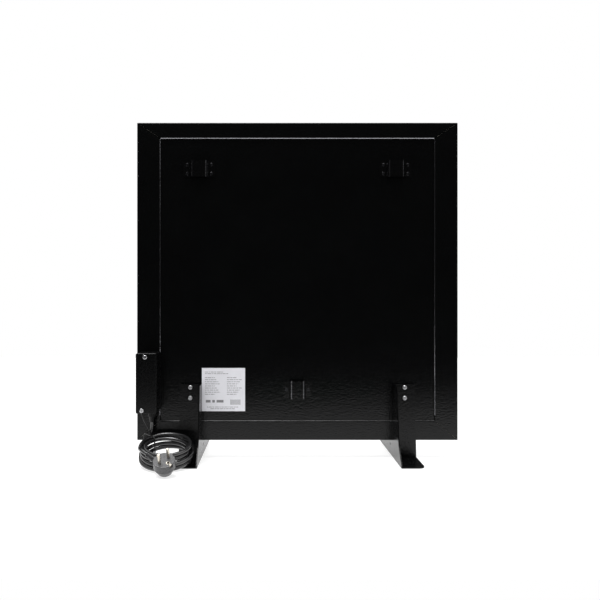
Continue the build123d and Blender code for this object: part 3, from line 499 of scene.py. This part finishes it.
def mesh_piece(name: str, points: np.ndarray, faces: np.ndarray, smooth: bool = True) -> bpy.types.Object:
    """Puts arrays of points and four-cornered faces into a new object.

    Args:
        name: name of the piece.
        points: N rows of x, y, z.
        faces: M rows of four point numbers, anticlockwise from outside.
        smooth: whether the faces are shaded smooth.

    Returns:
        The new object, at the origin.
    """
    mesh = bpy.data.meshes.new(name)
    mesh.from_pydata(points.reshape(-1, 3).tolist(), [], faces.reshape(-1, 4).tolist())
    mesh.polygons.foreach_set("use_smooth", np.full(len(mesh.polygons), smooth))
    mesh.update()
    piece = bpy.data.objects.new(name, mesh)
    bpy.context.scene.collection.objects.link(piece)
    return piece


def dress(node: str, material: bpy.types.Material) -> None:
    """Gives a CAD node its material.

    Args:
        node: name of the node.
        material: what it wears.
    """
    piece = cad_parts[node]
    piece.data.materials.clear()
    piece.data.materials.append(material)


# Sub-assemblies


@dataclass
class Casing:
    """The tray, its back plate and the heating stack between them."""

    paint: Finish = PowderCoat(
        "casing_paint",
        (0.0012, 0.0013, 0.0014),
        (0.0019, 0.0021, 0.0022),
        # Painted highlight on the recess lip, standing in for the bright floor's reflection.
        highlight_spans=LIP_HIGHLIGHT_SPANS,
    )
    stack: dict[str, Finish] = field(
        default_factory=lambda: {
            "insulation_board": Layered(
                "fibre_board", (0.62, 0.58, 0.5), (0.75, 0.72, 0.64), Surface.FIBRES, rough=0.85
            ),
            "reflector_foil": Layered(
                "bright_foil", (0.8, 0.81, 0.82), (0.9, 0.9, 0.9), Surface.PATCHES, rough=0.2, metallic=1.0
            ),
            "heating_mat": Layered(
                "amber_film", (0.42, 0.24, 0.08), (0.55, 0.34, 0.14), Surface.GRAINS, rough=0.4
            ),
            "heating_track": Layered(
                "etched_track", (0.5, 0.3, 0.2), (0.62, 0.4, 0.28), Surface.GRAINS, rough=0.35, metallic=1.0
            ),
            "thermal_cutout": Metal("tinned_case", (0.66, 0.65, 0.6)),
        }
    )

    def build(self) -> list[str]:
        """Dresses the nodes.

        Returns:
            Names of what was dressed.
        """
        paint = self.paint.build()
        for node in ("casing_tray", "back_plate"):
            dress(node, paint)
        for node, finish in self.stack.items():
            dress(node, finish.build())
        return ["casing_tray", "back_plate", *self.stack]


@dataclass
class Stand:
    """The two feet with their screws and rivet nuts, and the bright screws inside the box."""

    paint: Finish = PowderCoat(
        "foot_paint",
        (0.0012, 0.0013, 0.0014),
        (0.002, 0.0021, 0.0023),
        rough=0.24,
    )
    zinc: Finish = Metal("bright_zinc", (0.72, 0.72, 0.74), rough=0.22)

    def build(self) -> list[str]:
        """Dresses the nodes.

        Returns:
            Names of what was dressed.
        """
        paint, zinc = self.paint.build(), self.zinc.build()
        feet = ["foot_left", "foot_right"]
        for node in feet:
            dress(node, paint)
        fasteners = ["foot_screws", "rivet_nuts", "earth_screw", "terminal_screws"]
        for node in fasteners:
            dress(node, zinc)
        return feet + fasteners


@dataclass
class WallBrackets:
    """The three hat-section brackets, and the blackened rivets of brackets and box."""

    paint: Finish = PowderCoat(
        "bracket_paint",
        (0.0009, 0.0009, 0.001),
        (0.0016, 0.0016, 0.0018),
        specular=0.4,
        # Painted highlight on the hat's bent edges, standing in for light caught there.
        highlight_colour=(0.19, 0.19, 0.2),
        highlight_bends=True,
    )
    rivet: Finish = Metal("blackened_rivet", (0.07, 0.07, 0.075), rough=0.16)

    def build(self) -> list[str]:
        """Dresses the nodes.

        Returns:
            Names of what was dressed.
        """
        paint, rivet = self.paint.build(), self.rivet.build()
        brackets = ["wall_bracket_top_left", "wall_bracket_top_right", "wall_bracket_bottom"]
        for node in brackets:
            dress(node, paint)
        rivets = ["bracket_rivets", "box_rivets"]
        for node in rivets:
            dress(node, rivet)
        return brackets + rivets


@dataclass
class RatingLabel:
    """The plain sticker with ruled grey dashes, blocks and bars in place of any wording.

    Places on the sticker are shares of its side, from its left lower corner. A ruled row is
    given by its left and right end, its lower edge and the dash length that it starts with.
    """

    left: float = -0.179
    bottom: float = 0.087
    side: float = 0.081
    lift: float = 0.00003
    stroke: float = 0.013
    dash_gap: float = 0.014
    dashes: tuple[float, ...] = (0.05, 0.08, 0.03, 0.065, 0.045, 0.09, 0.035)
    head_rows: tuple[Row, ...] = ((0.07, 0.5, 0.9, 1), (0.07, 0.62, 0.862, 4))
    foot_rows: tuple[Row, ...] = ((0.12, 0.84, 0.09, 2), (0.2, 0.76, 0.05, 5))
    lines: int = 9
    line_top: float = 0.77
    line_pitch: float = 0.048
    line_growth: float = 0.04
    growth_cycle: int = 4
    columns: tuple[tuple[float, float, int, int], ...] = ((0.07, 0.3, 5, 0), (0.58, 0.8, 3, 3))
    bar_count: int = 10
    bar_left: float = 0.66
    bar_pitch: float = 0.024
    bar_width: float = 0.012
    bar_span: Span = (0.15, 0.27)
    blocks: tuple[Span, ...] = ((0.09, 0.2), (0.24, 0.3), (0.34, 0.5))
    block_span: Span = (0.2, 0.26)
    film: Finish = Sticker("label_film", (0.74, 0.74, 0.78))
    ink: Finish = Sticker("label_ink", (0.2, 0.2, 0.21), rough=0.6)

    def row(self, left: float, right: float, height: float, first: int) -> list[Mark]:
        """One ruled row, broken into dashes whose lengths follow a short repeating list.

        Args:
            left: where the row starts, as a share of the label.
            right: where it ends.
            height: how high its lower edge lies.
            first: which dash length it starts with.

        Returns:
            The row's dashes: left, bottom, right, top.
        """
        dashes = []
        while left < right:
            end = min(left + self.dashes[first % len(self.dashes)], right)
            dashes.append((left, height, end, height + self.stroke))
            left, first = end + self.dash_gap, first + 1
        return dashes

    def marks(self) -> np.ndarray:
        """All dashes, bars and blocks, as shares of the label: left, bottom, right, top.

        A column holds its left end, the right end of its shortest row, the stride by which
        its rows' lengths change and the dash length of its first row. Row k is longer than
        the shortest by line_growth times the rest of k * stride by growth_cycle.

        Returns:
            One row for each of them.
        """
        marks = [mark for row in self.head_rows for mark in self.row(*row)]
        for k in range(self.lines):
            height = self.line_top - self.line_pitch * k
            for left, right, stride, first in self.columns:
                end = right + self.line_growth * (k * stride % self.growth_cycle)
                marks += self.row(left, end, height, k + first)
        marks += [mark for row in self.foot_rows for mark in self.row(*row)]
        low, high = self.bar_span
        for k in range(self.bar_count):
            left = self.bar_left + self.bar_pitch * k
            marks.append((left, low, left + self.bar_width, high))
        low, high = self.block_span
        marks += [(left, low, right, high) for left, right in self.blocks]
        return np.array(marks)

    def build(self) -> list[str]:
        """Dresses the sticker and lays the marks on it.

        A mark with shares u and v spans x = left + side * u and z = bottom + side * v, at one
        small lift in front of the sticker's face. Its corners run anticlockwise from the left
        lower one, as seen from behind.

        Returns:
            Names of the pieces.
        """
        dress("rating_label", self.film.build())
        face_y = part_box("rating_label")[0][1] - self.lift
        marks = self.marks()
        across = self.left + self.side * marks[:, [0, 2, 2, 0]]
        up = self.bottom + self.side * marks[:, [1, 1, 3, 3]]
        points = np.stack([across, np.full_like(across, face_y), up], -1).reshape(-1, 3)
        faces = np.arange(len(points)).reshape(-1, 4)
        piece = mesh_piece("label_bars", points, faces, smooth=False)
        piece.data.materials.append(self.ink.build())
        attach(piece, BODY)
        return ["rating_label", "label_bars"]


@dataclass
class JunctionBox:
    """The plastic box, its gland, its cover's screws, and the block and wires inside."""

    shell: Finish = Moulded(
        "box_shell",
        (0.001, 0.0011, 0.0012),
        rough=0.26,
        depth=0.000003,
        specular=0.25,
    )
    inner: dict[str, Finish] = field(
        default_factory=lambda: {
            "cover_screws": Metal("bright_screw", (0.8, 0.8, 0.82), rough=0.2),
            "terminal_block": Moulded("natural_block", (0.6, 0.58, 0.52), rough=0.5),
            "lead_grommet": Moulded("grommet_rubber", (0.02, 0.02, 0.02), rough=0.7),
            "lead_live": Moulded("brown_cover", (0.14, 0.06, 0.03), rough=0.4),
            "lead_neutral": Moulded("blue_cover", (0.04, 0.1, 0.4), rough=0.4),
            "lead_earth": Moulded("green_cover", (0.15, 0.35, 0.04), rough=0.4),
            "mains_cores": Moulded("grey_cover", (0.12, 0.12, 0.13), rough=0.4),
        }
    )

    def build(self) -> list[str]:
        """Dresses the nodes.

        Returns:
            Names of what was dressed.
        """
        shell = self.shell.build()
        names = ["junction_box_base", "junction_box_cover", "cable_gland", "gland_locknut", "bend_sleeve"]
        for node in names:
            dress(node, shell)
        for node, finish in self.inner.items():
            dress(node, finish.build())
        return [*names, *self.inner]


@dataclass
class MainsCord:
    """The cord: a short lead from the gland, a tied coil, and the end that enters the plug.

    The points of lead and tail are listed. The coil begins at the angle start and
    lies in layers: its radius swings about the mean, and where it reverses the coil climbs
    one step within a share of a turn. The formula gives the shown turns, with per_turn
    points each, and the tail goes on from there.
    """

    diameter: float = 0.007
    length: float = 1.444
    exit: Point = (-0.269, -0.047, 0.0705)
    lead: tuple[Point, ...] = (
        (-0.269, -0.047, 0.0755),
        (-0.269, -0.047, 0.0549),
        (-0.275, -0.0496, 0.0394),
        (-0.282, -0.0584, 0.0273),
        (-0.2849, -0.0723, 0.0187),
    )
    tail: tuple[Point, ...] = (
        (-0.27934, -0.10802, 0.03362),
        (-0.27265, -0.12239, 0.03516),
        (-0.26668, -0.12704, 0.03269),
        (-0.26143, -0.13113, 0.03051),
        (-0.2563, -0.1351, 0.0284),
    )
    centre: Point = (-0.235, -0.087, 0.015049)
    tilt: float = math.radians(14)
    start: float = math.radians(190)
    turns: float = 5.105
    shown: float = 5.0
    mean: float = 0.042
    swing: float = 0.0045
    step: float = 0.0077
    layers: int = 4
    climb: float = 0.5
    per_turn: int = 24
    order: int = 3
    path_steps: int = 4
    round_steps: int = 5
    carried: tuple[str, ...] = (
        "cord_tie",
        "plug_body",
        "plug_pins",
        "plug_earth_clips",
        "plug_earth_socket",
        "plug_bend_relief",
    )
    sheath: Finish = Moulded(
        "cord_sheath",
        (0.008, 0.008, 0.0085),
        rough=0.18,
        grain=900.0,
        depth=0.000005,
        specular=0.9,
    )
    wire: Finish = Moulded("tie_cover", (0.01, 0.01, 0.01), rough=0.4)

    def coil(self) -> np.ndarray:
        """Points of the coil.

        The angle grows by a full turn per turn, the radius is the mean plus a cosine swing
        that runs once in and out over two layers, and the height climbs one step, eased in
        and out, where the swing reverses. The whole lies in a plane tilted about X.

        Returns:
            Rows of x, y, z.
        """
        turn = np.linspace(0.0, self.shown, int(self.shown * self.per_turn) + 1)
        angle = self.start + 2 * math.pi * turn
        radius = self.mean + self.swing * np.cos(math.pi * turn * self.layers / self.turns)
        reversals = np.arange(1, self.layers)[:, None] * self.turns / self.layers
        share = np.clip((turn[None, :] - reversals) / self.climb + 0.5, 0.0, 1.0)
        height = self.step * (share * share * (3 - 2 * share)).sum(0)
        across, away = radius * np.cos(angle), radius * np.sin(angle)
        level, lean = math.cos(self.tilt), math.sin(self.tilt)
        tilted = [across, level * away - lean * height, lean * away + level * height]
        return np.array(self.centre) + np.stack(tilted, -1)

    def build(self) -> list[str]:
        """Lays the cord as one smooth curve and dresses what is on it.

        Returns:
            Names of the pieces.
        """
        points = np.concatenate([np.array(self.lead), self.coil(), np.array(self.tail)])
        curve = bpy.data.curves.new("mains_cord", "CURVE")
        curve.dimensions = "3D"
        curve.bevel_depth = self.diameter / 2
        curve.bevel_resolution = self.round_steps
        curve.resolution_u = self.path_steps
        curve.use_fill_caps = True
        spline = curve.splines.new("NURBS")
        spline.points.add(len(points) - 1)
        rows = np.concatenate([points, np.ones((len(points), 1))], 1)
        spline.points.foreach_set("co", rows.ravel())
        spline.order_u = self.order
        spline.use_endpoint_u = True
        cord = bpy.data.objects.new("mains_cord", curve)
        bpy.context.scene.collection.objects.link(cord)
        sheath = self.sheath.build()
        curve.materials.append(sheath)
        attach(cord, BODY)
        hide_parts("cord_lead", "cord_coil")
        dress("cord_sheath_end", sheath)
        dress("cord_tie", self.wire.build())
        return ["mains_cord", "cord_sheath_end", "cord_tie"]


@dataclass
class Plug:
    """The moulded mains plug."""

    body: Finish = Moulded(
        "plug_moulding",
        (0.06, 0.06, 0.062),
        rough=0.28,
        grain=1500.0,
        depth=0.00001,
        specular=0.4,
    )
    relief: Finish = Moulded(
        "relief_rubber",
        (0.02, 0.02, 0.021),
        rough=0.26,
        grain=900.0,
        depth=0.00001,
        specular=0.6,
    )
    metal: Finish = Metal("nickel_plate", (0.74, 0.69, 0.6), rough=0.2)

    def build(self) -> list[str]:
        """Dresses the nodes.

        Returns:
            Names of what was dressed.
        """
        dress("plug_body", self.body.build())
        dress("plug_bend_relief", self.relief.build())
        metal = self.metal.build()
        contacts = ["plug_pins", "plug_earth_clips", "plug_earth_socket"]
        for node in contacts:
            dress(node, metal)
        return ["plug_body", "plug_bend_relief", *contacts]


@dataclass
class Studio:
    """Pale floor, white surroundings, soft lamps and the camera of the photograph.

    A lamp is given by the direction towards it, its width in degrees and its power. The
    surroundings' strengths are for directions near the horizon and overhead.
    """

    floor_low: Span = (-1.7, -0.55)
    floor_high: Span = (1.7, 2.0)
    floor_drop: float = 0.0002
    floor_dark: Colour = (0.31, 0.31, 0.31)
    floor_light: Colour = (0.34, 0.34, 0.34)
    floor_patches: float = 3.0
    floor_rough: float = 0.6
    floor_specular: float = 0.3
    floor_glow: float = 0.72
    seen: Span = (1.0, 1.0)
    cast: Span = (0.35, 1.4)
    mirrored: Span = (0.03, 1.6)
    rise: Span = (0.3, 0.95)
    distance: float = 1.2
    height: float = 0.298
    across: float = -0.0477
    lens: float = 38.49
    sensor: float = 36.0
    shift: Span = (0.0468, -0.0022)
    sight: float = 50.0
    lamp_distance: float = 3.0
    lamps: dict[Light, tuple[Point, float, float]] = field(
        default_factory=lambda: {
            Light.KEY: ((-0.15, -0.12, 1.0), 35.0, 3.5),
            Light.FILL: ((0.9, -0.2, 0.8), 60.0, 0.35),
        }
    )

    def floor(self) -> None:
        """Lays the floor: a faintly glowing rectangle just under the plane z = 0."""
        (left, near), (right, far) = self.floor_low, self.floor_high
        corners = np.array([[left, near], [right, near], [right, far], [left, far]])
        corners = np.concatenate([corners, np.full((len(corners), 1), -self.floor_drop)], 1)
        floor = mesh_piece("floor", corners, np.array([[0, 1, 2, 3]]), smooth=False)
        graph = NodeGraph("pale_floor")
        patches = graph.noise(self.floor_patches).outputs["Fac"]
        tint = graph.ramp(patches, NOISE_SPAN, self.floor_dark, self.floor_light)
        graph.join(tint, graph.shader.inputs["Base Color"])
        graph.set(Roughness=self.floor_rough, Specular_IOR_Level=self.floor_specular)
        graph.set(Emission_Strength=self.floor_glow, Emission_Color=(*WHITE, 1.0))
        floor.data.materials.append(graph.material)

    def sky(self) -> None:
        """White for the camera, and for what it lights dim at the horizon and bright overhead.

        Each strength runs from its first value to its second as the upward part of the
        direction goes through the rise.
        """
        world = bpy.data.worlds.new("studio_world")
        world.use_nodes = True
        tree = world.node_tree
        tree.nodes.clear()
        path = tree.nodes.new("ShaderNodeLightPath")
        coords = tree.nodes.new("ShaderNodeTexCoord")
        axes = tree.nodes.new("ShaderNodeSeparateXYZ")
        tree.links.new(coords.outputs["Generated"], axes.inputs[0])
        out = tree.nodes.new("ShaderNodeOutputWorld")
        last = None
        surroundings = (
            (self.cast, None),
            (self.mirrored, "Is Glossy Ray"),
            (self.seen, "Is Camera Ray"),
        )
        for strengths, ray in surroundings:
            glow = tree.nodes.new("ShaderNodeBackground")
            glow.inputs["Color"].default_value = (*WHITE, 1.0)
            rise = tree.nodes.new("ShaderNodeMapRange")
            rise.interpolation_type = "SMOOTHSTEP"
            sockets = ("From Min", "From Max", "To Min", "To Max")
            for socket, value in zip(sockets, (*self.rise, *strengths)):
                rise.inputs[socket].default_value = value
            tree.links.new(axes.outputs["Z"], rise.inputs["Value"])
            tree.links.new(rise.outputs[0], glow.inputs["Strength"])
            if last is None:
                last = glow
                continue
            mix = tree.nodes.new("ShaderNodeMixShader")
            tree.links.new(path.outputs[ray], mix.inputs[0])
            tree.links.new(last.outputs[0], mix.inputs[1])
            tree.links.new(glow.outputs[0], mix.inputs[2])
            last = mix
        tree.links.new(last.outputs[0], out.inputs[0])
        bpy.context.scene.world = world

    def lamp(self, light: Light) -> None:
        """Hangs one soft far lamp.

        Args:
            light: which lamp.
        """
        towards, width, power = self.lamps[light]
        data = bpy.data.lights.new(light.value, "SUN")
        data.angle, data.energy = math.radians(width), power
        lamp = bpy.data.objects.new(light.value, data)
        away = np.array(towards) / np.linalg.norm(towards)
        lamp.location = tuple(self.lamp_distance * away)
        lamp.rotation_euler = (math.acos(away[2]), 0.0, math.atan2(away[1], away[0]) + math.pi / 2)
        bpy.context.scene.collection.objects.link(lamp)

    def camera(self) -> None:
        """Sets up the camera square to the back, at the distance read from the photograph."""
        data = bpy.data.cameras.new("photo_camera")
        data.lens, data.sensor_width = self.lens, self.sensor
        data.shift_x, data.shift_y = self.shift
        data.clip_end = self.sight
        camera = bpy.data.objects.new("photo_camera", data)
        camera.location = (self.across, BACK_Y - self.distance, self.height)
        camera.rotation_euler = (math.pi / 2, 0.0, 0.0)
        bpy.context.scene.collection.objects.link(camera)
        bpy.context.scene.camera = camera

    def build(self) -> list[str]:
        """Sets up floor, world, lamps and camera.

        Returns:
            Names of what was set up.
        """
        self.floor()
        self.sky()
        for light in Light:
            self.lamp(light)
        self.camera()
        settings = bpy.context.scene.view_settings
        settings.view_transform, settings.look = "Standard", "None"
        return ["floor", *(light.value for light in Light), "photo_camera"]


def main() -> None:
    """Builds the sub-assemblies in order."""
    logging.basicConfig(level=logging.INFO, format="%(message)s")
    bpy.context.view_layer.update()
    parts = (
        Casing(),
        Stand(),
        WallBrackets(),
        RatingLabel(),
        JunctionBox(),
        MainsCord(),
        Plug(),
        Studio(),
    )
    for part in parts:
        for name in part.build():
            LOG.info("%s: %s", type(part).__name__, name)
    bpy.context.view_layer.update()


if __name__ == "__main__":
    main()
